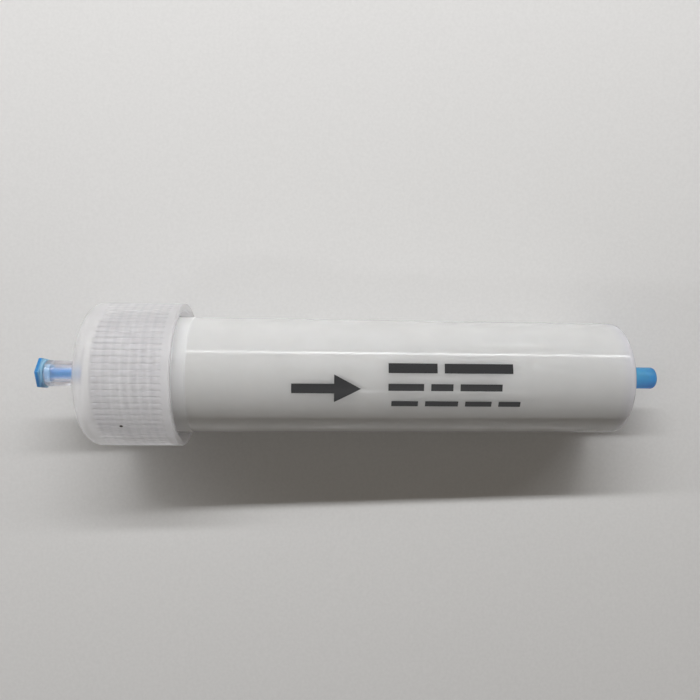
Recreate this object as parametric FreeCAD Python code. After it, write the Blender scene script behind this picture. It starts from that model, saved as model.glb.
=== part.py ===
import FreeCAD, Part
import math
import os

# A disposable column for flash chromatography: a moulded barrel packed with powder between
# two porous discs, closed by a ribbed screw cap, with a plug in its inlet and a cap on its
# outlet. X runs along the axis towards the outlet and Z is up. The origin is on the axis,
# in the plane of the screw cap's open rim. Lengths are in millimetres.

# Barrel
barrel_length = 104.5        # from the cap's rim to the outer face of the closed end
barrel_r = 13.8              # outside, at the cap's rim
barrel_draft_deg = 0.26      # the outside narrows towards the outlet
barrel_wall = 2.0            # at the cap's rim; the bore is straight
barrel_end_wall = 2.4
barrel_end_round = 1.6
neck_proud = 0.1             # the neck's step above the barrel
neck_showing = 2.4           # how far the neck reaches out of the cap
mouth_chamfer = 0.5

# Screw thread, drawn as plain bands at its mean diameter on the neck and in the cap
thread_depth = 1.1
thread_gap = 0.15
thread_end = 3.5             # from the last ridge to the cap's rim

# Screw cap
cap_length = 21.5
cap_wall = 1.85              # outside the root of the cap's thread
cap_top_wall = 2.2
cap_shoulder_round = 3.0
cap_rim_chamfer = 0.3
cap_mouth_chamfer = 0.4
rib_count = 72
rib_depth = 0.25
rib_land_share = 0.5         # flat land of a rib, as a share of the distance between valleys
rib_crest_drop = 0.02        # the lands lie a hair under the plain bands
rib_band_start = 1.6         # from the rim to where the grooves begin
rib_band_end = 4.6           # from the cap's top to where they end, below the shoulder
spigot_length = 6.0
spigot_wall = 2.4
spigot_gap = 0.12

# Inlet hub and outlet tip, both with the 6 percent taper of laboratory fittings
taper_half_slope = 0.03
hub_length = 11.25
hub_r = 3.15
hub_root_chamfer = 0.6
hub_mouth_r = 2.14
hub_taper_depth = 8.5
tip_length = 8.6
tip_end_r = 1.985
flow_hole_r = 1.0

# Seal and packing
seal_thickness = 1.0
seal_gap = 0.03              # to the barrel's mouth, the cap's top and the spigot
frit_thickness = 2.0
outlet_frit_thickness = 1.6
frit_under_spigot = 0.3
packing_gap = 0.03

# Inlet plug
plug_flange_across = 6.9     # across the hexagon's flats
plug_flange_thickness = 1.05
plug_flange_turn_deg = -6.0
plug_flange_chamfer = 0.2
plug_collar_r = 3.35
plug_collar_length = 0.5
plug_seat_gap = 0.05
plug_land_length = 1.2
plug_stem_r = 1.35
plug_stem_chamfer = 0.5
plug_length = 8.3            # from the hub's mouth to the stem's tip
taper_gap = 0.02

# Outlet cap
outlet_cap_r = 2.63
outlet_cap_end_wall = 1.1
outlet_cap_end_gap = 0.4
outlet_cap_end_round = 0.8
outlet_cap_mouth_gap = 0.7   # from the barrel's end to the cap's open edge

arc_steps = 4                # straight steps in a quarter round of a turned section

# Places along the axis that follow from the sizes above
rim_x = 0.0
cap_top_x = rim_x - cap_length
under_top_x = cap_top_x + cap_top_wall
hub_mouth_x = cap_top_x - hub_length
spigot_end_x = under_top_x + spigot_length
mouth_x = under_top_x + seal_thickness + 2 * seal_gap
thread_end_x = rim_x - thread_end
neck_end_x = rim_x + neck_showing
barrel_end_x = rim_x + barrel_length
floor_x = barrel_end_x - barrel_end_wall
tip_end_x = barrel_end_x + tip_length
inlet_frit_x = spigot_end_x + frit_under_spigot
bed_start_x = inlet_frit_x + frit_thickness
bed_end_x = floor_x - outlet_frit_thickness
rib_first_x = cap_top_x + rib_band_end
rib_last_x = rim_x - rib_band_start

# Radii that follow from the sizes above
neck_r = barrel_r + neck_proud
bore_r = barrel_r - barrel_wall
neck_thread_r = neck_r + thread_depth / 2
cap_thread_r = neck_thread_r + thread_gap
cap_mouth_r = neck_r + thread_depth + thread_gap
cap_r = cap_mouth_r + cap_wall
rib_valley_r = cap_r - rib_depth
rib_crest_r = cap_r - rib_crest_drop
spigot_r = bore_r - spigot_gap
packing_r = bore_r - packing_gap


def barrel_outside_r(x):
    """Outer radius of the drafted barrel at a place along the axis."""
    return barrel_r - (x - rim_x) * math.tan(math.radians(barrel_draft_deg))


def hub_bore_r(x):
    """Radius of the inlet's tapered bore, widest at its mouth."""
    return hub_mouth_r - (x - hub_mouth_x) * taper_half_slope


def tip_outside_r(x):
    """Radius of the outlet's tapered tip, narrowest at its end."""
    return tip_end_r + (tip_end_x - x) * taper_half_slope


def turned(*corners):
    """Solid of revolution about the X axis from the (x, radius) corners of its section."""
    points = [FreeCAD.Vector(x, 0, r) for x, r in corners]
    face = Part.Face(Part.makePolygon(points + points[:1]))
    return face.revolve(FreeCAD.Vector(0, 0, 0), FreeCAD.Vector(1, 0, 0), 360)


def quarter_round(center_x, center_r, radius, first_deg):
    """Corners of a section's rounding, running clockwise from the angle first_deg."""
    angles = [math.radians(first_deg - 90 * i / arc_steps) for i in range(arc_steps + 1)]
    return [(center_x + radius * math.cos(a), center_r + radius * math.sin(a)) for a in angles]


def column_body():
    """Barrel, threaded neck, closed end and outlet tip, moulded as one."""
    chamfer = mouth_chamfer
    end_r = barrel_outside_r(barrel_end_x)
    end_round = quarter_round(
        barrel_end_x - barrel_end_round, end_r - barrel_end_round, barrel_end_round, 90
    )
    return turned(
        (mouth_x, bore_r + chamfer),
        (mouth_x, neck_thread_r - chamfer),
        (mouth_x + chamfer, neck_thread_r),
        (thread_end_x, neck_thread_r),
        (thread_end_x, neck_r),
        (neck_end_x, neck_r),
        (neck_end_x, barrel_outside_r(neck_end_x)),
        *end_round,
        (barrel_end_x, tip_outside_r(barrel_end_x)),
        (tip_end_x, tip_end_r),
        (tip_end_x, flow_hole_r),
        (floor_x, flow_hole_r),
        (floor_x, bore_r),
        (mouth_x + chamfer, bore_r),
    )


def rib_band():
    """Prism of ribs, each a flat land between two flanks that slope to its valleys."""
    flank = (1 - rib_land_share) / 2
    corners = []
    for i in range(rib_count):
        for share, r in ((0, rib_valley_r), (flank, rib_crest_r), (1 - flank, rib_crest_r)):
            angle = 2 * math.pi * (i + share) / rib_count
            corners.append(FreeCAD.Vector(rib_first_x, r * math.sin(angle), r * math.cos(angle)))
    ribs = Part.Face(Part.makePolygon(corners + corners[:1]))
    return ribs.extrude(FreeCAD.Vector(rib_last_x - rib_first_x, 0, 0))


def cap_outside():
    """Outside of the cap and its hub: plain at the shoulder and rim, ribbed between them."""
    shoulder = quarter_round(
        cap_top_x + cap_shoulder_round, cap_r - cap_shoulder_round, cap_shoulder_round, 180
    )
    outside = turned(
        (hub_mouth_x, 0),
        (hub_mouth_x, hub_r),
        (cap_top_x - hub_root_chamfer, hub_r),
        (cap_top_x, hub_r + hub_root_chamfer),
        *shoulder,
        (rib_first_x, cap_r),
        (rib_first_x, rib_valley_r),
        (rib_last_x, rib_valley_r),
        (rib_last_x, cap_r),
        (rim_x - cap_rim_chamfer, cap_r),
        (rim_x, cap_r - cap_rim_chamfer),
        (rim_x, 0),
    )
    return outside.fuse(rib_band())


def cap_hollow():
    """Room inside the cap for the barrel's neck, around the spigot that enters the bore."""
    return turned(
        (rim_x, 0),
        (rim_x, cap_mouth_r + cap_mouth_chamfer),
        (rim_x - cap_mouth_chamfer, cap_mouth_r),
        (thread_end_x, cap_mouth_r),
        (thread_end_x, cap_thread_r),
        (under_top_x, cap_thread_r),
        (under_top_x, spigot_r),
        (spigot_end_x, spigot_r),
        (spigot_end_x, spigot_r - spigot_wall),
        (under_top_x, spigot_r - spigot_wall),
        (under_top_x, 0),
    )


def hub_bore():
    """Tapered socket of the inlet, narrowing to the hole through the cap's top."""
    taper_end_x = hub_mouth_x + hub_taper_depth
    return turned(
        (hub_mouth_x, 0),
        (hub_mouth_x, hub_mouth_r),
        (taper_end_x, hub_bore_r(taper_end_x)),
        (taper_end_x, flow_hole_r),
        (under_top_x, flow_hole_r),
        (under_top_x, 0),
    )


def screw_cap():
    """Ribbed cap with a spigot inside and a tapered inlet hub on top."""
    return cap_outside().cut(cap_hollow()).cut(hub_bore())


def ring(first_x, thickness, inner_r, outer_r):
    """Flat ring about the axis."""
    last_x = first_x + thickness
    return turned((first_x, inner_r), (first_x, outer_r), (last_x, outer_r), (last_x, inner_r))


def seal_ring():
    """Flat seal that the cap presses onto the barrel's mouth."""
    return ring(under_top_x + seal_gap, seal_thickness, spigot_r + seal_gap, neck_r)


def disc(first_x, last_x):
    """Plug of one material that fills the bore between two places."""
    return turned((first_x, 0), (first_x, packing_r), (last_x, packing_r), (last_x, 0))


def hexagon_flange(first_x):
    """Finger flange of the plug, a bevelled hexagon turned a little about the axis."""
    corner_r = plug_flange_across / 2 / math.cos(math.radians(30))
    angles = [math.radians(90 + plug_flange_turn_deg + 60 * i) for i in range(7)]
    corners = [FreeCAD.Vector(first_x, corner_r * math.cos(a), corner_r * math.sin(a)) for a in angles]
    face = Part.Face(Part.makePolygon(corners))
    flange = face.extrude(FreeCAD.Vector(plug_flange_thickness, 0, 0))
    return flange.makeChamfer(plug_flange_chamfer, flange.Edges)


def inlet_plug():
    """Push-in plug: hexagonal flange, seating collar, tapered land and slender stem."""
    seat_x = hub_mouth_x - plug_seat_gap
    collar_x = seat_x - plug_collar_length
    flange_x = collar_x - plug_flange_thickness
    land_end_x = hub_mouth_x + plug_land_length
    stem_end_x = hub_mouth_x + plug_length
    stem = turned(
        (collar_x, 0),
        (collar_x, plug_collar_r),
        (seat_x, plug_collar_r),
        (seat_x, hub_bore_r(hub_mouth_x) - taper_gap),
        (land_end_x, hub_bore_r(land_end_x) - taper_gap),
        (land_end_x, plug_stem_r),
        (stem_end_x - plug_stem_chamfer, plug_stem_r),
        (stem_end_x, plug_stem_r - plug_stem_chamfer),
        (stem_end_x, 0),
    )
    return hexagon_flange(flange_x).fuse(stem)


def outlet_cap():
    """Closed sleeve with a rounded end, pushed over the outlet tip."""
    open_x = barrel_end_x + outlet_cap_mouth_gap
    inside_end_x = tip_end_x + outlet_cap_end_gap
    end_x = inside_end_x + outlet_cap_end_wall
    end_round = quarter_round(
        end_x - outlet_cap_end_round, outlet_cap_r - outlet_cap_end_round, outlet_cap_end_round, 90
    )
    return turned(
        (open_x, tip_outside_r(open_x) + taper_gap),
        (open_x, outlet_cap_r),
        *end_round,
        (end_x, 0),
        (inside_end_x, 0),
        (inside_end_x, tip_outside_r(inside_end_x) + taper_gap),
    )


def write_parts():
    """Write each piece to a file of its own, named for the piece."""
    pieces = {
        "column_body": column_body(),
        "screw_cap": screw_cap(),
        "seal_ring": seal_ring(),
        "inlet_frit": disc(inlet_frit_x, bed_start_x),
        "silica_bed": disc(bed_start_x, bed_end_x),
        "outlet_frit": disc(bed_end_x, floor_x),
        "inlet_plug": inlet_plug(),
        "outlet_cap": outlet_cap(),
    }
    os.makedirs("parts", exist_ok=True)
    for name, piece in pieces.items():
        piece.exportStep(f"parts/{name}.step")
        print(name, "valid" if piece.isValid() else "NOT VALID", len(piece.Solids), round(piece.Volume, 1))


write_parts()
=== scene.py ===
# %% [markdown]
# # A chromatography column lying on a pale sheet
# The object is a disposable column for a chemistry laboratory: a milky moulded barrel packed
# with white powder, a frosted screw cap with fine grip ribs, and a small blue closure on the
# tapered fitting at each end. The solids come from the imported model, which is the fixed frame.
# This lesson dresses them: it turns finer shells over the same sizes and gives every surface
# the plastic, rubber or powder that it is made of.

# %% Load the frame
import math

import bmesh
import bpy
from mathutils import Matrix, Vector


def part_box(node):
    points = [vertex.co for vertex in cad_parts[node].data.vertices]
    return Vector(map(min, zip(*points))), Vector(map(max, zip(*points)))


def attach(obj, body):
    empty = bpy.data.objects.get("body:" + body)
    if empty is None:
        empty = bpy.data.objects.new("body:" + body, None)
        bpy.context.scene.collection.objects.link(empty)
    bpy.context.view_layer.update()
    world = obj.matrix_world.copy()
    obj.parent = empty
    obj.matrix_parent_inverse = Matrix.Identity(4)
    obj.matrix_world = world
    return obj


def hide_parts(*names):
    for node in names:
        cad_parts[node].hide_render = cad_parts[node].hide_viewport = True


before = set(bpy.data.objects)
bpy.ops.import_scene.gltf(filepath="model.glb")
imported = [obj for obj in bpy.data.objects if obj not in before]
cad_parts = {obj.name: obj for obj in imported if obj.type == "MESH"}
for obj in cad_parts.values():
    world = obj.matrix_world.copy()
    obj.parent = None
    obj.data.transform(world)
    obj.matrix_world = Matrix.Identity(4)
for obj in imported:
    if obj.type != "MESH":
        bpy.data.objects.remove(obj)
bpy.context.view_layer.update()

MM = 0.001
print("nodes:", sorted(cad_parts))

# %% [markdown]
# ## Sizes
# A size that a solid's box can tell is read from the frame, so it can't drift from the model.
# The rest are the moulding's own values. Everything is in millimetres: a name that ends in _x
# is a place along the axis, counted from the cap's open rim towards the outlet, and a name
# that ends in _r is a radius. The tapers are the standard fitting's 6 percent, which is 3
# percent on each side.

# %% Read the sizes
barrel_low, barrel_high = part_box("column_body")
cap_low, cap_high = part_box("screw_cap")
plug_low, plug_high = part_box("inlet_plug")
tip_cap_low, tip_cap_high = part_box("outlet_cap")

mouth_x = barrel_low.x / MM
tip_end_x = barrel_high.x / MM
thread_mean_r = barrel_high.z / MM
cap_r = cap_high.z / MM
hub_mouth_x = cap_low.x / MM
rim_x = cap_high.x / MM

barrel_end_x = 104.5
barrel_r_at_rim = 13.8
draft = math.tan(math.radians(0.26))
bore_r = 11.8
neck_end_x = 2.4
tip_end_r = 1.985
flow_hole_r = 1.0
taper = 0.03


def barrel_r(x):
    """Outer radius of the drafted barrel."""
    return barrel_r_at_rim - x * draft


def tip_r(x):
    """Outer radius of the outlet's tapered tip."""
    return tip_end_r + (tip_end_x - x) * taper


print("barrel from", round(mouth_x, 2), "to", round(tip_end_x, 2), "cap radius", round(cap_r, 2))

# %% [markdown]
# ## The camera
# The photograph looks straight down on the sheet from about 15 cm above the column, through
# a wide lens, so the cap's end shows its depth and the barrel narrows slightly. The column
# rests on its cap and on the far end of the barrel, so the sheet leans by two degrees to the
# axis. The camera stands square to the sheet. Its place and lens were found by fitting the
# outline of the cap and the barrel.

# %% Set the camera
FRAME_PX = 700
LENS_PX = 630
SENSOR_MM = 36.0
camera_place = Vector((33.78, 6.23, 153.29)) * MM
camera_right = Vector((0.99927, 0.0098, 0.03699)).normalized()
camera_back = Vector((-0.03699, 0.0, 0.99932)).normalized()
camera_up = camera_back.cross(camera_right)

camera = bpy.data.objects.new("camera", bpy.data.cameras.new("camera"))
bpy.context.scene.collection.objects.link(camera)
axes = Matrix((camera_right, camera_up, camera_back)).transposed()
camera.matrix_world = Matrix.Translation(camera_place) @ axes.to_4x4()
camera.data.sensor_width = SENSOR_MM
camera.data.lens = LENS_PX / FRAME_PX * SENSOR_MM
camera.data.clip_start = 5 * MM
bpy.context.scene.camera = camera
bpy.context.scene.view_settings.view_transform = "Standard"
print("lens", round(camera.data.lens, 2), "mm")

# %% [markdown]
# ## Helpers for turned shapes
# Every moulding here is turned: its section is drawn once, beside the axis, and spun round
# it. The section is a short list of corners, each with its place, its radius and its
# rounding. A vertex bevel makes the rounding, so no arc is typed out point by point. Smooth
# shading would spread the turn of an arc over the long straight face beside it, so a support
# point stands just outside each rounding and keeps the straight face straight.


# %% Draw a section
SUPPORT = 0.2
ROUND_SEGMENTS = 6


def with_supports(corners, closed):
    """The corners, with support points beside the roundings where there is room for them."""
    result = []
    for i, (x, r, rounding) in enumerate(corners):
        result.append((x, r, rounding))
        if i == len(corners) - 1 and not closed:
            break
        next_x, next_r, next_rounding = corners[(i + 1) % len(corners)]
        length = math.hypot(next_x - x, next_r - r)
        if length < rounding + next_rounding + 3 * SUPPORT:
            continue
        places = []
        if rounding:
            places.append((rounding + SUPPORT) / length)
        if next_rounding:
            places.append(1 - (next_rounding + SUPPORT) / length)
        result += [(x + (next_x - x) * t, r + (next_r - r) * t, 0) for t in places]
    return result


def section_of(corners, closed=True):
    """A flat outline beside the X axis, from corners (x, radius, rounding)."""
    corners = with_supports(corners, closed)
    bm = bmesh.new()
    points = [bm.verts.new((x * MM, 0, r * MM)) for x, r, _ in corners]
    count = len(points) if closed else len(points) - 1
    for i in range(count):
        bm.edges.new((points[i], points[(i + 1) % len(points)]))
    for point, (_, _, rounding) in zip(points, corners):
        if rounding:
            bmesh.ops.bevel(
                bm, geom=[point], offset=rounding * MM, segments=ROUND_SEGMENTS,
                profile=0.5, affect="VERTICES", material=-1,
            )
    return bm


print("each rounding has", ROUND_SEGMENTS, "segments")

# %% [markdown]
# A full spin closes the surface on itself. Points that meet on the axis are merged into one
# pole, and the normals are made to point outwards. The finished object stays at the origin,
# with its place in its mesh, and is smooth except where its surface really turns.


# %% Spin a section and finish the object
WELD = 0.0005
SHARP_DEG = 35


def spin_round(bm, steps):
    """The section spun once round the X axis, closed on itself, with its poles merged."""
    geom = bm.verts[:] + bm.edges[:]
    bmesh.ops.spin(
        bm, geom=geom, cent=(0, 0, 0), axis=(1, 0, 0), dvec=(0, 0, 0),
        angle=2 * math.pi, steps=steps, use_merge=True,
    )
    bmesh.ops.remove_doubles(bm, verts=bm.verts[:], dist=WELD * MM)
    bmesh.ops.recalc_face_normals(bm, faces=bm.faces[:])
    return bm


def finished(bm, name, sharp_deg=SHARP_DEG):
    """An object at the origin from the mesh, smooth except where it turns sharply."""
    mesh = bpy.data.meshes.new(name)
    bm.to_mesh(mesh)
    bm.free()
    for face in mesh.polygons:
        face.use_smooth = True
    mesh.set_sharp_from_angle(angle=math.radians(sharp_deg))
    piece = bpy.data.objects.new(name, mesh)
    bpy.context.scene.collection.objects.link(piece)
    print(name, len(mesh.polygons), "faces")
    return piece


def turned(name, corners, steps, closed=True):
    """A turned object: its section drawn, spun round the axis and finished."""
    return finished(spin_round(section_of(corners, closed), steps), name)


print("an edge is sharp past", SHARP_DEG, "degrees")

# %% [markdown]
# ## The screw thread
# A thread is the same spin with a shift: each small turn also moves the section along the
# axis, and one whole turn moves it by the pitch. The ridge of the neck points outwards and
# the ridge of the cap points inwards, half a pitch further on, so the two mesh. Each ridge is
# rooted in its wall and joined to it by a Boolean union, as the moulding is one piece.


# %% Make a helical ridge and join it
thread_pitch = 2.0
thread_turns = 6.5
thread_depth = 1.1
thread_clear = 0.15
thread_root = 0.3
thread_crest_width = 0.5
thread_flank_deg = 17
THREAD_STEPS = 96
neck_r = thread_mean_r - thread_depth / 2
crest_r = thread_mean_r + thread_depth / 2


def thread_ridge(name, root_r, top_r, first_x):
    """A closed helical ridge with a trapezoid section, from its root to its flat top."""
    half_top = thread_crest_width / 2
    half_root = half_top + abs(top_r - root_r) * math.tan(math.radians(thread_flank_deg))
    section = ((-half_root, root_r), (-half_top, top_r), (half_top, top_r), (half_root, root_r))
    bm = bmesh.new()
    points = [bm.verts.new(((first_x + x) * MM, 0, r * MM)) for x, r in section]
    for i in range(len(points)):
        bm.edges.new((points[i], points[(i + 1) % len(points)]))
    steps = int(thread_turns * THREAD_STEPS)
    bmesh.ops.spin(
        bm, geom=bm.verts[:] + bm.edges[:], cent=(0, 0, 0), axis=(1, 0, 0),
        dvec=(thread_pitch * thread_turns / steps * MM, 0, 0),
        angle=2 * math.pi * thread_turns, steps=steps,
    )
    bmesh.ops.holes_fill(bm, edges=bm.edges[:], sides=len(points))
    bmesh.ops.recalc_face_normals(bm, faces=bm.faces[:])
    return finished(bm, name)


def join_to(piece, other):
    """Makes the piece the union of itself and the other, and removes the other's object."""
    union = piece.modifiers.new("union", "BOOLEAN")
    union.operation = "UNION"
    union.solver = "MANIFOLD"
    union.object = other
    graph = bpy.context.evaluated_depsgraph_get()
    joined = bpy.data.meshes.new_from_object(piece.evaluated_get(graph))
    piece.modifiers.clear()
    piece.data = joined
    print(piece.name, len(joined.polygons), "faces with", other.name)
    bpy.data.objects.remove(other)


print("thread between radii", round(neck_r, 2), "and", round(crest_r, 2))

# %% [markdown]
# ## The barrel
# One moulding: a threaded neck, a long drafted tube with a wall just under 2 mm, a closed end
# with a flat floor, and the tapered outlet tip. Towards the cap's rim the neck steps down to
# a plain band that lies a twentieth of a millimetre below the barrel, and only this band
# shows. 192 steps round the axis keep the outline smooth at this distance.

# %% Turn the barrel
BARREL_STEPS = 192
barrel_end_round = 1.6
barrel_end_wall = 2.4
thread_start = 1.24
band_drop = 0.05
band_step = 0.1
floor_x = barrel_end_x - barrel_end_wall
first_ridge_x = mouth_x + thread_start
band_slope_x = -2.3
band_x = -1.7
band_r = barrel_r(neck_end_x) - band_drop
body_x = neck_end_x + band_step

barrel = turned("barrel", (
    (mouth_x, bore_r, 0.4),
    (mouth_x, neck_r, 0.45),
    (band_slope_x, neck_r, 0),
    (band_x, band_r, 0),
    (neck_end_x, band_r, 0.03),
    (body_x, barrel_r(neck_end_x), 0),
    (body_x + SUPPORT, barrel_r(body_x + SUPPORT), 0),
    (barrel_end_x, barrel_r(barrel_end_x), barrel_end_round),
    (barrel_end_x, tip_r(barrel_end_x), 0.4),
    (tip_end_x, tip_end_r, 0.12),
    (tip_end_x, flow_hole_r, 0),
    (floor_x, flow_hole_r, 0),
    (floor_x, bore_r, 0),
), BARREL_STEPS)
join_to(barrel, thread_ridge("neck_thread", neck_r - thread_root, crest_r, first_ridge_x))
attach(barrel, "column")
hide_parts("column_body")

# %% [markdown]
# ## The screw cap
# The cap's wall, its inner spigot and its tapered hub are one section, spun in 576 small
# steps: eight for each of the 72 grip ribs. Between the shoulder and the rim the section has
# a few more points, where the grooves of the grip will run out.

# %% Turn the cap
RIBS = 72
STEPS_PER_RIB = 8
cap_top_x = -21.5
under_top_x = -19.3
shoulder_round = 3.0
hub_root_round = 0.8
rim_round = 0.3
mouth_chamfer = 0.4
cap_bore_r = crest_r + thread_clear

grip_from_x = -16.9
grip_to_x = -1.6
run_out = 0.7
thirds = [run_out * i / 3 for i in range(4)]
grip_xs = [grip_from_x + x for x in thirds] + [grip_to_x - x for x in reversed(thirds)]

spigot_gap = 0.12
spigot_wall = 2.4
spigot_length = 6.0
spigot_r = bore_r - spigot_gap
spigot_bore_r = spigot_r - spigot_wall
spigot_end_x = under_top_x + spigot_length
hub_r = 3.15
hub_mouth_r = 2.14
hub_bore_depth = 8.5
hub_floor_x = hub_mouth_x + hub_bore_depth

cap_bm = section_of((
    (hub_mouth_x, hub_mouth_r, 0.12),
    (hub_mouth_x, hub_r, 0.25),
    (cap_top_x, hub_r, hub_root_round),
    (cap_top_x, cap_r, shoulder_round),
    *((x, cap_r, 0) for x in grip_xs),
    (rim_x, cap_r, rim_round),
    (rim_x, cap_bore_r + mouth_chamfer, 0),
    (rim_x - mouth_chamfer, cap_bore_r, 0),
    (under_top_x, cap_bore_r, 0.3),
    (under_top_x, spigot_r, 0.2),
    (spigot_end_x, spigot_r, 0.3),
    (spigot_end_x, spigot_bore_r, 0.3),
    (under_top_x, spigot_bore_r, 0.3),
    (under_top_x, flow_hole_r, 0),
    (hub_floor_x, flow_hole_r, 0),
    (hub_floor_x, hub_mouth_r - hub_bore_depth * taper, 0),
))
spin_round(cap_bm, RIBS * STEPS_PER_RIB)
print("cap turned in", RIBS * STEPS_PER_RIB, "steps")

# %% [markdown]
# The ribs aren't separate bars. The ring of outside points sinks by a quarter millimetre
# midway between two ribs, along a steep curve, and rises back to the plain band at both
# ends. That gives the broad soft ribs with narrow dark valleys that the photograph shows.


# %% Sink the grooves and join the thread
groove_depth = 0.25
OUTSIDE_MARGIN = 0.01
CAP_SHARP_DEG = 30


def groove_share(x, angle):
    """How far a point of the grip is sunk, from 0 on a rib's crest to 1 in a valley."""
    along = min(x - grip_from_x, grip_to_x - x) / run_out
    along = max(0.0, min(1.0, along))
    phase = (angle * RIBS / (2 * math.pi)) % 1.0
    off_crest = abs(phase - 0.5) * 2
    return off_crest ** 4 * along * along * (3 - 2 * along)


sunk = 0
for vert in cap_bm.verts:
    radius = math.hypot(vert.co.y, vert.co.z)
    if radius > (cap_r - OUTSIDE_MARGIN) * MM:
        deep = groove_share(vert.co.x / MM, math.atan2(vert.co.y, vert.co.z)) * groove_depth
        if deep > 0:
            keep = 1 - deep * MM / radius
            vert.co.y *= keep
            vert.co.z *= keep
            sunk += 1
print(sunk, "points sunk into grooves")

cap = finished(cap_bm, "cap_shell", CAP_SHARP_DEG)
half_pitch_on_x = first_ridge_x + thread_pitch / 2
join_to(cap, thread_ridge(
    "cap_thread", cap_bore_r + thread_root, neck_r + thread_clear, half_pitch_on_x,
))
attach(cap, "cap")
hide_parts("screw_cap")

# %% [markdown]
# ## The inlet plug
# The plug's flange is a six-sided disc with a bevelled edge, which starts as a cone of six
# sides with both ends alike. The collar, the tapered land that grips the hub and the slender
# stem are one spun section that starts inside the disc and is joined to it.

# %% Model the plug
CLOSURE_STEPS = 96
flange_across_flats = 6.9
flange_corner_r = flange_across_flats / 2 / math.cos(math.radians(30))
flange_turn_deg = -6.0
flange_bevel = 0.2
seat_gap = 0.05
collar_length = 0.5
collar_r = 3.35
collar_root_length = 0.5
collar_root_r = 3.1
land_length = 1.2
land_r, land_end_r = 2.12, 2.08
stem_r = 1.35
flange_x = plug_low.x / MM
seat_x = hub_mouth_x - seat_gap
collar_x = seat_x - collar_length
inside_flange_x = collar_x - collar_root_length
land_end_x = hub_mouth_x + land_length
stem_end_x = plug_high.x / MM

flange_bm = bmesh.new()
bmesh.ops.create_cone(
    flange_bm, cap_ends=True, segments=6, radius1=flange_corner_r * MM,
    radius2=flange_corner_r * MM, depth=(collar_x - flange_x) * MM,
)
lay_down = Matrix.Rotation(math.radians(90), 4, "Y")
turn_corner = Matrix.Rotation(math.radians(90 + flange_turn_deg), 4, "X")
move = Matrix.Translation(Vector(((collar_x + flange_x) / 2 * MM, 0, 0)))
bmesh.ops.transform(flange_bm, matrix=move @ turn_corner @ lay_down, verts=flange_bm.verts[:])
bmesh.ops.bevel(
    flange_bm, geom=flange_bm.edges[:], offset=flange_bevel * MM, segments=3,
    profile=0.5, affect="EDGES", material=-1,
)
flange = finished(flange_bm, "plug_flange")

plug = turned("plug", (
    (inside_flange_x, 0, 0),
    (inside_flange_x, collar_root_r, 0),
    (collar_x, collar_r, 0.1),
    (seat_x, collar_r, 0.15),
    (seat_x, land_r, 0),
    (land_end_x, land_end_r, 0.1),
    (land_end_x, stem_r, 0.05),
    (stem_end_x, stem_r, 0.65),
    (stem_end_x, 0, 0),
), CLOSURE_STEPS, closed=False)
join_to(plug, flange)
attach(plug, "plug")
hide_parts("inlet_plug")

# %% [markdown]
# ## The outlet cap
# A thin closed sleeve with a well rounded end. Its bore follows the taper of the tip inside
# it, a hair wider.

# %% Turn the outlet cap
open_x = tip_cap_low.x / MM
sleeve_end_x = tip_cap_high.x / MM
sleeve_r = tip_cap_high.z / MM
end_gap = 0.4
fit_gap = 0.02
inside_end_x = tip_end_x + end_gap

sleeve = turned("outlet_sleeve", (
    (inside_end_x, 0, 0),
    (inside_end_x, tip_r(inside_end_x) + fit_gap, 0.2),
    (open_x, tip_r(open_x) + fit_gap, 0.08),
    (open_x, sleeve_r, 0.15),
    (sleeve_end_x, sleeve_r, 0.8),
    (sleeve_end_x, 0, 0),
), CLOSURE_STEPS, closed=False)
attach(sleeve, "tip_cap")
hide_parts("outlet_cap")

# %% [markdown]
# ## Marks on the barrel
# The barrel carries a plain arrow that shows the direction of flow and three rows of plain
# bars, in black ink. Each mark starts as a flat polygon and is cut into strips, so that it
# can bend. Then it is wrapped onto the barrel: its width becomes an angle, and it lies about
# a hundredth of a millimetre above the surface.


# %% Cut and wrap a mark
INK_LIFT = 0.012
BAR_STRIPS = 4
HEAD_STRIPS = 10


def flat_mark(bm, corners, strips):
    """A flat polygon in the marks' plane, cut into this many strips so that it can bend."""
    face = bm.faces.new([bm.verts.new((x * MM, y * MM, 0)) for x, y in corners])
    ys = [y for _, y in corners]
    geom = [face, *face.edges, *face.verts]
    for i in range(1, strips):
        y = min(ys) + (max(ys) - min(ys)) * i / strips
        cut = bmesh.ops.bisect_plane(bm, geom=geom, plane_co=(0, y * MM, 0), plane_no=(0, 1, 0))
        geom = cut["geom"]


def bar(bm, x, width, middle, height):
    """A flat bar from x on, with its middle at this distance round the barrel."""
    low, high = middle - height / 2, middle + height / 2
    flat_mark(bm, ((x, low), (x + width, low), (x + width, high), (x, high)), BAR_STRIPS)


def wrap_on_barrel(bm):
    """Bends flat marks, drawn as (x, distance round the barrel), onto the drafted tube."""
    for vert in bm.verts:
        x = vert.co.x / MM
        radius = barrel_r(x) + INK_LIFT
        angle = vert.co.y / MM / barrel_r(x)
        vert.co = Vector((x, radius * math.sin(angle), radius * math.cos(angle))) * MM


print("the marks lie", INK_LIFT, "mm above the barrel")

# %% [markdown]
# The arrow points to the outlet. Each row of bars has its middle, its height, the place where
# it starts and the widths of its bars. The marks are open sheets, so nothing tells Blender
# which side is out: the sum over all faces shows whether they have to be turned over.

# %% Lay out the marks
arrow_x, arrow_y = 26.0, -2.4
shaft_length, shaft_height = 9.5, 2.2
head_length, head_half_height = 6.0, 3.2
bar_gap = 1.6
ROWS = (
    (2.3, 2.2, 47.6, (11.0, 15.5)),
    (-2.0, 1.6, 47.6, (8.0, 5.0, 9.5)),
    (-5.9, 1.3, 48.4, (6.0, 7.5, 6.0, 5.0)),
)

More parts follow.
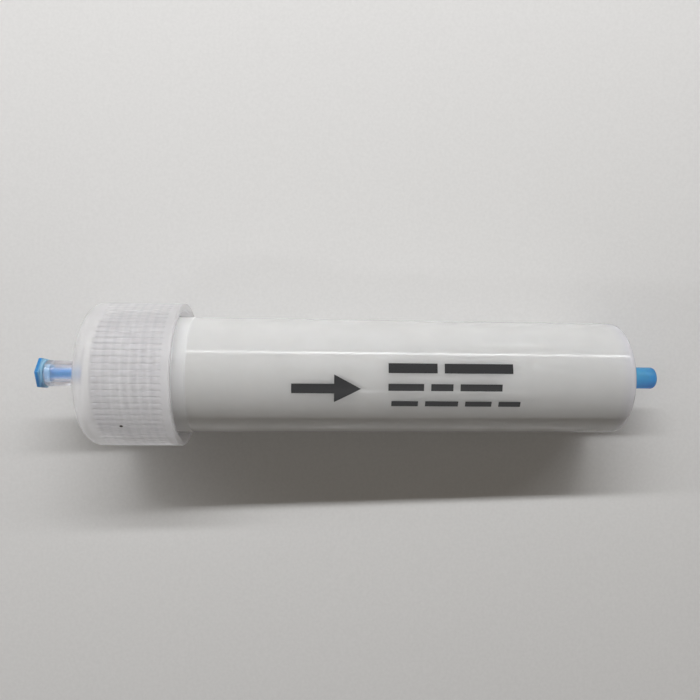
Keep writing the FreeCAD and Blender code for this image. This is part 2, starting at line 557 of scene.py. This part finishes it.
marks = bmesh.new()
head_x = arrow_x + shaft_length
bar(marks, arrow_x, shaft_length, arrow_y, shaft_height)
flat_mark(marks, (
    (head_x, arrow_y - head_half_height),
    (head_x + head_length, arrow_y),
    (head_x, arrow_y + head_half_height),
), HEAD_STRIPS)
for middle, height, x, widths in ROWS:
    for width in widths:
        bar(marks, x, width, middle, height)
        x += width + bar_gap

wrap_on_barrel(marks)
bmesh.ops.recalc_face_normals(marks, faces=marks.faces[:])
outward = 0
for face in marks.faces:
    centre = face.calc_center_median()
    outward += face.normal.y * centre.y + face.normal.z * centre.z
if outward < 0:
    bmesh.ops.reverse_faces(marks, faces=marks.faces[:])
print_marks = finished(marks, "print_marks")
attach(print_marks, "column")

# %% [markdown]
# ## A speck of dirt
# The photograph shows one tiny black speck on the lower side of the cap's grip. It is a
# small ball pressed flat, sunk halfway into the surface.

# %% Press the speck onto the cap
speck_x, speck_y, speck_from_axis = -11.25, -11.05, 16.98
speck_r = 0.32
speck_place = Vector((speck_x, speck_y, math.sqrt(speck_from_axis ** 2 - speck_y ** 2)))
outwards = Vector((0, speck_place.y, speck_place.z)).normalized()

speck_bm = bmesh.new()
bmesh.ops.create_icosphere(speck_bm, subdivisions=3, radius=speck_r * MM)
bmesh.ops.scale(speck_bm, vec=(1.2, 0.9, 0.4), verts=speck_bm.verts[:])
face_out = Vector((0, 0, 1)).rotation_difference(outwards).to_matrix().to_4x4()
seat = Matrix.Translation(speck_place * MM) @ face_out
bmesh.ops.transform(speck_bm, matrix=seat, verts=speck_bm.verts[:])
speck = finished(speck_bm, "speck")
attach(speck, "cap")

# %% [markdown]
# ## Material helpers
# Colours are written as the sRGB hex values that one reads off a colour picker, and one
# function turns them to the linear values that the renderer works with. Another small
# function adds a node, sets its values and makes its links, so that each material below
# reads like a list of what it is made of. A Mix node has inputs for numbers, vectors and
# colours under the same names, so the ones for colours are found by their place.


# %% Colours and nodes
FACTOR, COLOUR_A, COLOUR_B, COLOUR_OUT = 0, 6, 7, 2


def linear(hex_colour):
    """Linear RGBA from an sRGB hex colour such as "c8d0d4"."""
    channels = [int(hex_colour[i:i + 2], 16) / 255 for i in (0, 2, 4)]
    curve = [c / 12.92 if c <= 0.04045 else ((c + 0.055) / 1.055) ** 2.4 for c in channels]
    return (*curve, 1.0)


def put(tree, node, inputs):
    """Fills a node's inputs: a socket is linked, and anything else is a value."""
    for name, value in inputs.items():
        if isinstance(value, bpy.types.NodeSocket):
            tree.links.new(value, node.inputs[name])
        else:
            node.inputs[name].default_value = value


def add(tree, kind, inputs=None, stops=(), **settings):
    """A node with its settings, its inputs and, for a ramp, its (place, hex colour) stops."""
    made = tree.nodes.new(kind)
    for name, value in settings.items():
        setattr(made, name, value)
    put(tree, made, inputs or {})
    if stops:
        elements = made.color_ramp.elements
        while len(elements) < len(stops):
            elements.new(0.5)
        for element, (place, colour) in zip(elements, stops):
            element.position = place
            element.color = linear(colour)
    return made


print("linear mid grey:", round(linear("808080")[0], 4))

# %% [markdown]
# A new material starts with its shader and nothing else. Two patterns come back in many of
# them: how far a point lies between two places along the column, and soft clouds of a real
# size. Both read the Object coordinates, so a pattern stays on its piece when that moves.


# %% Materials and their patterns
def new_material(name):
    """An empty node material, its tree, and the shader that ends it."""
    material = bpy.data.materials.new(name)
    material.use_nodes = True
    tree = material.node_tree
    tree.nodes.clear()
    output = add(tree, "ShaderNodeOutputMaterial")
    shader = add(tree, "ShaderNodeBsdfPrincipled")
    tree.links.new(shader.outputs["BSDF"], output.inputs["Surface"])
    return material, tree, shader


def place_along(tree, from_mm, to_mm):
    """0 to 1 along the column's axis between two places, and the coordinates."""
    coordinates = add(tree, "ShaderNodeTexCoord").outputs["Object"]
    x = add(tree, "ShaderNodeSeparateXYZ", {"Vector": coordinates}).outputs["X"]
    share = add(tree, "ShaderNodeMapRange", {
        "Value": x, "From Min": from_mm * MM, "From Max": to_mm * MM,
    })
    return share.outputs["Result"], coordinates


def clouded(tree, coordinates, cloud_mm, stops, detail=2.0):
    """A colour whose shades follow soft clouds of this size."""
    cloud = add(tree, "ShaderNodeTexNoise", {
        "Vector": coordinates, "Scale": 1 / (cloud_mm * MM), "Detail": detail,
    })
    shade = add(tree, "ShaderNodeValToRGB", {"Fac": cloud.outputs["Fac"]}, stops)
    return shade.outputs["Color"]


def wear(piece, material):
    """Gives a piece this material alone."""
    piece.data.materials.clear()
    piece.data.materials.append(material)
    print(piece.name, "wears", material.name)


# %% [markdown]
# ## The barrel's plastic
# Natural polypropylene is milky, and behind it the imported powder is white, so the barrel
# reads as a white body under a smooth glossy skin: most of the light scatters some
# millimetres under the surface. The mould polished the outside, so a lamp is mirrored in it
# as a crisp line. The plain band of the neck beside the cap is less polished, and its fine
# pits break the line up. Its colour is painted paler: painted light for what the cap's milky
# rim lets through onto it. The powder ends 4 mm before the barrel does. Past it come the
# sintered disc and the solid end wall, which look a little darker and cooler, and the tint
# fades into theirs.

# %% Barrel material
POLYPROPYLENE_IOR = 1.49
fade_from_x = 96.5
neck_fade = 0.4
pit_size = 0.5
pit_height = 0.05
barrel_plastic, tree, shader = new_material("natural_polypropylene_polished")
to_end, coordinates = place_along(tree, fade_from_x, barrel_end_x)
body_tint = add(tree, "ShaderNodeValToRGB", {"Fac": to_end}, (
    (0.0, "d2d2d1"), (0.5, "d0d0d0"), (0.75, "c6c6cb"), (0.9, "c4c4cb"), (1.0, "babac3"),
))
past_neck, _ = place_along(tree, neck_end_x, neck_end_x + neck_fade)
# Painted light: the neck band's paler colour stands in for light that the cap's milky rim lets
# through onto it.
painted_light_neck_and_body = add(tree, "ShaderNodeMix", {
    FACTOR: past_neck, COLOUR_A: linear("e6e6e7"), COLOUR_B: body_tint.outputs["Color"],
}, data_type="RGBA")
mottle = clouded(tree, coordinates, 9, ((0.35, "fafafa"), (0.65, "ffffff")), detail=3.0)
tinted = add(tree, "ShaderNodeMix", {
    FACTOR: 1.0, COLOUR_A: painted_light_neck_and_body.outputs[COLOUR_OUT], COLOUR_B: mottle,
}, data_type="RGBA", blend_type="MULTIPLY")

polish = add(tree, "ShaderNodeMapRange", {"Value": past_neck, "To Min": 0.3, "To Max": 0.1})
pitted = add(tree, "ShaderNodeTexNoise", {
    "Vector": coordinates, "Scale": 1 / (pit_size * MM), "Detail": 2.0,
})
pit_depth = add(tree, "ShaderNodeMapRange", {"Value": past_neck, "To Min": 0.6, "To Max": 0.0})
pits = add(tree, "ShaderNodeBump", {
    "Height": pitted.outputs["Fac"], "Strength": pit_depth.outputs["Result"],
    "Distance": pit_height * MM,
})
put(tree, shader, {
    "Base Color": tinted.outputs[COLOUR_OUT],
    "Roughness": polish.outputs["Result"],
    "Normal": pits.outputs["Normal"],
    "IOR": POLYPROPYLENE_IOR,
    "Subsurface Weight": 1.0,
    "Subsurface Radius": (1.0, 0.97, 0.94),
    "Subsurface Scale": 8 * MM,
})
wear(barrel, barrel_plastic)

# %% [markdown]
# ## The cap's plastic
# The cap is the same natural polypropylene, but no powder lies right behind it and its mould
# was blasted, so it is a satin, milky veil. Light wanders some millimetres through it,
# and the larger part passes straight on: what lies behind shows through, and the shadow is
# lighter under the cap. The neck's thread comes close behind the wall, and the light it sends
# through is painted into the cap's colour as soft pale stripes: painted light, a wave that
# turns with the helix. The wave starts a quarter pitch before the thread, because the angle
# is counted from +Y and the thread starts at +Z.


# %% Cap material
def helix_wave(tree, coordinates, start_x):
    """1 on the turns of a thread that starts a quarter pitch past here, and 0 between them."""
    turn = 2 * math.pi
    split = add(tree, "ShaderNodeSeparateXYZ", {"Vector": coordinates})
    angle = add(tree, "ShaderNodeMath", {
        0: split.outputs["Z"], 1: split.outputs["Y"],
    }, operation="ARCTAN2")
    along = add(tree, "ShaderNodeMath", {
        0: split.outputs["X"], 1: turn / (thread_pitch * MM), 2: -start_x * turn / thread_pitch,
    }, operation="MULTIPLY_ADD")
    phase = add(tree, "ShaderNodeMath", {
        0: along.outputs["Value"], 1: angle.outputs["Value"],
    }, operation="SUBTRACT")
    wave = add(tree, "ShaderNodeMath", {0: phase.outputs["Value"]}, operation="COSINE")
    half = add(tree, "ShaderNodeMath", {
        0: wave.outputs["Value"], 1: 0.5, 2: 0.5,
    }, operation="MULTIPLY_ADD")
    return half.outputs["Value"]


wave_x = first_ridge_x - thread_pitch / 4
grip_fade = 1.5
blast_size = 0.35
blast_height = 0.02
cap_plastic, tree, shader = new_material("natural_polypropylene_satin")
past_shoulder, coordinates = place_along(tree, grip_from_x - 0.5, grip_from_x + grip_fade)
before_rim, _ = place_along(tree, grip_to_x, grip_to_x - grip_fade)
in_grip = add(tree, "ShaderNodeMath", {0: past_shoulder, 1: before_rim}, operation="MULTIPLY")
milk = clouded(tree, coordinates, 6, ((0.3, "dfdee1"), (0.7, "e4e4e6")))
# Painted light: pale stripes along the helix stand in for the neck's thread seen through the
# wall.
painted_thread_light = add(tree, "ShaderNodeValToRGB", {"Fac": helix_wave(tree, coordinates, wave_x)}, (
    (0.1, "f7f7f8"), (0.5, "ffffff"),
))
milk_with_painted_light = add(tree, "ShaderNodeMix", {
    FACTOR: in_grip.outputs["Value"], COLOUR_A: milk, COLOUR_B: painted_thread_light.outputs["Color"],
}, data_type="RGBA", blend_type="MULTIPLY")
blasted = add(tree, "ShaderNodeTexNoise", {
    "Vector": coordinates, "Scale": 1 / (blast_size * MM), "Detail": 2.0,
})
grain = add(tree, "ShaderNodeBump", {
    "Height": blasted.outputs["Fac"], "Strength": 0.15, "Distance": blast_height * MM,
})
put(tree, shader, {
    "Base Color": milk_with_painted_light.outputs[COLOUR_OUT],
    "Normal": grain.outputs["Normal"],
    "Roughness": 0.3,
    "IOR": POLYPROPYLENE_IOR,
    "Subsurface Weight": 0.6,
    "Subsurface Radius": (1.0, 0.98, 0.96),
    "Subsurface Scale": 4 * MM,
    "Alpha": 0.35,
})
wear(cap, cap_plastic)

# %% [markdown]
# The hub has a thin polished wall and is almost clear, so the blue stem shows in it, a little
# enlarged by the round wall as by a lens. The faces of the hub are picked by their place. The
# neck under the cap is seen only through the cap's wall, so it wears the cap's satin veil.

# %% Hub material, and the neck under the cap
hub_plastic, tree, shader = new_material("natural_polypropylene_thin")
coordinates = add(tree, "ShaderNodeTexCoord").outputs["Object"]
put(tree, shader, {
    "Base Color": clouded(tree, coordinates, 3, ((0.3, "eeeaf2"), (0.7, "f6f4f8"))),
    "Roughness": 0.1,
    "IOR": POLYPROPYLENE_IOR,
    "Transmission Weight": 0.95,
    "Alpha": 0.7,
})

hub_to_x = cap_top_x - hub_root_round / 2
hub_margin = 0.15
cap.data.materials.append(hub_plastic)
hub_faces = 0
for face in cap.data.polygons:
    radius = math.hypot(face.center.y, face.center.z)
    if face.center.x < hub_to_x * MM and radius < (hub_r + hub_margin) * MM:
        face.material_index = 1
        hub_faces += 1
print(hub_faces, "faces of the hub wear", hub_plastic.name)

barrel.data.materials.append(cap_plastic)
neck_faces = 0
for face in barrel.data.polygons:
    if face.center.x < (rim_x - 0.5) * MM:
        face.material_index = 1
        neck_faces += 1
print(neck_faces, "faces of the neck wear", cap_plastic.name)

# %% [markdown]
# ## The blue closures' plastic
# Both closures are blue polyethylene, softer and waxier than the cap. How deep the blue looks
# depends on how much plastic the light crosses. The plug's flange is seen on edge and is deep
# blue, the collar behind it is pale, and the stem is deeper again. The outlet cap hides a
# solid tip and darkens towards its closed end. Each one also has painted shade: its colour is
# made a little deeper on the side away from the lamps.


# %% Blue closure materials
shaded_y, lit_y = -2.7, 0.5
plug_shading_length = 3.0


def blue_polyethylene(name, stops, from_mm, to_mm, shaded):
    """Waxy blue plastic, deeper where it is thick along the axis, with painted shade on its
    shaded side.
    """
    material, tree, shader = new_material(name)
    along, coordinates = place_along(tree, from_mm, to_mm)
    depth = add(tree, "ShaderNodeValToRGB", {"Fac": along}, stops)
    mottle = clouded(tree, coordinates, 2.5, ((0.3, "f4f4f4"), (0.7, "ffffff")))
    y = add(tree, "ShaderNodeSeparateXYZ", {"Vector": coordinates}).outputs["Y"]
    to_light = add(tree, "ShaderNodeMapRange", {
        "Value": y, "From Min": shaded_y * MM, "From Max": lit_y * MM,
    })
    # Painted shade: the colour is multiplied towards the shaded colour on the side away from the
    # lamps.
    side = add(tree, "ShaderNodeValToRGB", {"Fac": to_light.outputs["Result"]}, (
        (0.0, shaded), (1.0, "ffffff"),
    ))
    sided = add(tree, "ShaderNodeMix", {
        FACTOR: 1.0, COLOUR_A: depth.outputs["Color"], COLOUR_B: side.outputs["Color"],
    }, data_type="RGBA", blend_type="MULTIPLY")
    tinted = add(tree, "ShaderNodeMix", {
        FACTOR: 1.0, COLOUR_A: sided.outputs[COLOUR_OUT], COLOUR_B: mottle,
    }, data_type="RGBA", blend_type="MULTIPLY")
    put(tree, shader, {
        "Base Color": tinted.outputs[COLOUR_OUT],
        "Roughness": 0.22,
        "IOR": 1.51,
        "Subsurface Weight": 0.8,
        "Subsurface Radius": (0.5, 0.8, 1.0),
        "Subsurface Scale": 3 * MM,
    })
    return material


# The last colour of each closure is its painted shade, for the side away from the lamps.
plug_plastic = blue_polyethylene(
    "blue_polyethylene_plug",
    ((0.22, "2079b2"), (0.36, "88b3d0"), (0.85, "84b0ce"), (0.97, "2a82b8")),
    flange_x, flange_x + plug_shading_length, "f4faff",
)
sleeve_plastic = blue_polyethylene(
    "blue_polyethylene_sleeve",
    ((0.0, "489fcb"), (0.7, "3a8ec0"), (1.0, "227bb2")),
    open_x, sleeve_end_x, "5cc4f4",
)
wear(plug, plug_plastic)
wear(sleeve, sleeve_plastic)

# %% [markdown]
# ## What is inside
# The powder, the two sintered discs and the seal keep the frame's own solids: their shapes
# are plain discs and a flat ring. Only their finishes are added here. Silica gel is a fine
# white powder, the discs are pressed from plastic beads, and the seal is milky silicone.


# %% Materials of the packing and the seal
def matt_material(name, dark, light, grain_mm, roughness):
    """A matt finish whose two shades follow grains of a real size."""
    material, tree, shader = new_material(name)
    coordinates = add(tree, "ShaderNodeTexCoord").outputs["Object"]
    put(tree, shader, {
        "Base Color": clouded(tree, coordinates, grain_mm, ((0.3, dark), (0.7, light))),
        "Roughness": roughness,
    })
    return material


silica = matt_material("silica_gel_powder", "f0f0ee", "f6f6f4", 0.5, 0.9)
sintered = matt_material("sintered_polyethylene", "e6e6e4", "f0f0ee", 0.3, 0.7)
silicone = matt_material("silicone_rubber", "dcdcd8", "e4e4e0", 2.0, 0.45)
wear(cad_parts["silica_bed"], silica)
wear(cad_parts["inlet_frit"], sintered)
wear(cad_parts["outlet_frit"], sintered)
wear(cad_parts["seal_ring"], silicone)

# %% [markdown]
# ## Ink and dirt
# The ink of the marks is screen printed: flat, dark and slightly glossy, with tiny
# pinholes in it that show as a faint change of shade. The speck is plain dry dirt.

# %% Ink and dirt materials
ink = matt_material("screen_ink_black", "0e0e10", "18181a", 0.4, 0.3)
dirt = matt_material("dry_dirt", "17130f", "2a241d", 0.1, 0.8)
wear(print_marks, ink)
wear(speck, dirt)

# %% [markdown]
# ## The sheet
# The column lies on a plain matt sheet. It touches the sheet with the cap's edge and with
# the far end of the barrel, and these two points give the lean of the sheet.

# %% Lay the sheet
SHEET_HALF_WIDTH = 1500
cap_contact_x = rim_x - rim_round
end_contact_x = barrel_end_x - barrel_end_round
rise = cap_r - barrel_r(end_contact_x)
lean_angle = math.atan(rise / (end_contact_x - cap_contact_x))

sheet_bm = bmesh.new()
bmesh.ops.create_grid(sheet_bm, x_segments=1, y_segments=1, size=SHEET_HALF_WIDTH * MM)
sink = Matrix.Translation((rim_x * MM, 0, -cap_r * MM))
tilt = Matrix.Rotation(-lean_angle, 4, "Y")
bmesh.ops.transform(sheet_bm, matrix=sink @ tilt, verts=sheet_bm.verts[:])
sheet = finished(sheet_bm, "sheet")
sheet_finish = matt_material("matt_paper", "d2d2d2", "d6d6d6", 0.8, 0.95)
wear(sheet, sheet_finish)
print("the sheet leans by", round(math.degrees(lean_angle), 2), "degrees")

# %% [markdown]
# ## The light
# The column lies under long ceiling lamps. The shadow tells where they hang: its edge is
# sharp along the column and soft at its ends, so the lamps are thin and run the column's
# way, 44 degrees from overhead, with a brighter stretch above the column. A weaker lamp on
# the near side lays a faint shadow behind the column. Lamps are far off and large, so their
# places and widths are in metres.
#
# The mirror images in the gloss tell something else: how wide and how bright a lamp looks
# from the barrel. So the lamps that cast the shadows are kept out of the gloss, and four
# thin lamps show in the gloss alone. The strongest one draws the crisp line on the barrel.


# %% Hang the ceiling lamps
AWAY = 0.5
SHADOW_WIDTH = 0.02
MIRRORED_WIDTH = 0.03


def lamp(name, first_x, last_x, from_overhead_deg, power, width, away=AWAY):
    """A thin area lamp along X, this far from the axis and turned from overhead to +Y."""
    data = bpy.data.lights.new(name, "AREA")
    data.shape = "RECTANGLE"
    data.size = last_x - first_x
    data.size_y = width
    data.energy = power
    made = bpy.data.objects.new(name, data)
    bpy.context.scene.collection.objects.link(made)
    angle = math.radians(from_overhead_deg)
    place = Vector(((first_x + last_x) / 2, math.sin(angle) * away, math.cos(angle) * away))
    made.matrix_world = Matrix.Translation(place) @ Matrix.Rotation(-angle, 4, "X")
    print(name, "hangs", from_overhead_deg, "degrees from overhead")
    return made


# Name, first and last place along X in metres, degrees from overhead, and power in watts.
SHADOW_LAMPS = (
    ("lamp_row", -1.28, 0.53, 43.7, 3.4),
    ("bright_stretch", -0.22, 0.23, 43.7, 1.3),
    ("near_lamp", -0.67, -0.39, -32.8, 0.6),
)
MIRRORED_LAMPS = (
    ("mirrored_lamp", -0.35, 0.36, 47.4, 0.6),
    ("mirrored_far_side", -0.05, 0.16, 91.0, 0.04),
    ("mirrored_short", 0.2, 0.249, 72.0, 0.02),
    ("mirrored_near_side", 0.06, 0.234, -28.7, 0.05),
)
for values in SHADOW_LAMPS:
    lamp(*values, SHADOW_WIDTH).visible_glossy = False
for values in MIRRORED_LAMPS:
    lamp(*values, MIRRORED_WIDTH).visible_diffuse = False

# %% [markdown]
# Two more lamps shine only on some of the pieces, which light linking sets by a collection
# of receivers. The first is wider and shows in the cap's gloss alone, as the sheen on the
# grip ribs. The second stands for light that milky plastic carries round to its shaded side,
# further than the scattering in a thin wall does: a soft lamp on the near side that lights
# the cap and the outlet cap.


# %% Hang the lamps for some pieces
def shine_only_on(made, pieces):
    """Lets a lamp light these pieces and nothing else."""
    receivers = bpy.data.collections.new(made.name)
    for piece in pieces:
        receivers.objects.link(piece)
    made.light_linking.receiver_collection = receivers


glint = lamp("glint_on_cap", -0.2, 0.15, 44.0, 0.4, width=0.1)
glint.visible_diffuse = False
shine_only_on(glint, (cap,))

carried = lamp("carried_light", -0.25, 0.25, -62.0, 1.9, width=0.3, away=0.6)
carried.visible_glossy = False
shine_only_on(carried, (cap, sleeve))

# %% [markdown]
# The room adds a weak, warm light all round. Where the camera, a mirror image or the clear
# hub looks past the sheet, it shows as a plain light grey instead, so that the gloss has
# something bright to mirror.

# %% Light the room
ROOM_LIGHT = 0.12
SHOWN_LIGHT = 1.0
world = bpy.data.worlds.new("room")
bpy.context.scene.world = world
world.use_nodes = True
tree = world.node_tree
tree.nodes.clear()
path = add(tree, "ShaderNodeLightPath")
mirrored_or_seen = add(tree, "ShaderNodeMath", {
    0: path.outputs["Is Camera Ray"], 1: path.outputs["Is Glossy Ray"],
}, operation="MAXIMUM")
shown = add(tree, "ShaderNodeMath", {
    0: mirrored_or_seen.outputs["Value"], 1: path.outputs["Is Transmission Ray"],
}, operation="MAXIMUM")
strength = add(tree, "ShaderNodeMapRange", {
    "Value": shown.outputs["Value"], "To Min": ROOM_LIGHT, "To Max": SHOWN_LIGHT,
})
shade = add(tree, "ShaderNodeMix", {
    FACTOR: shown.outputs["Value"], COLOUR_A: linear("fff0dc"), COLOUR_B: linear("f2f2f2"),
}, data_type="RGBA")
room = add(tree, "ShaderNodeBackground", {
    "Color": shade.outputs[COLOUR_OUT], "Strength": strength.outputs["Result"],
})
add(tree, "ShaderNodeOutputWorld", {"Surface": room.outputs["Background"]})
print("room light", ROOM_LIGHT)
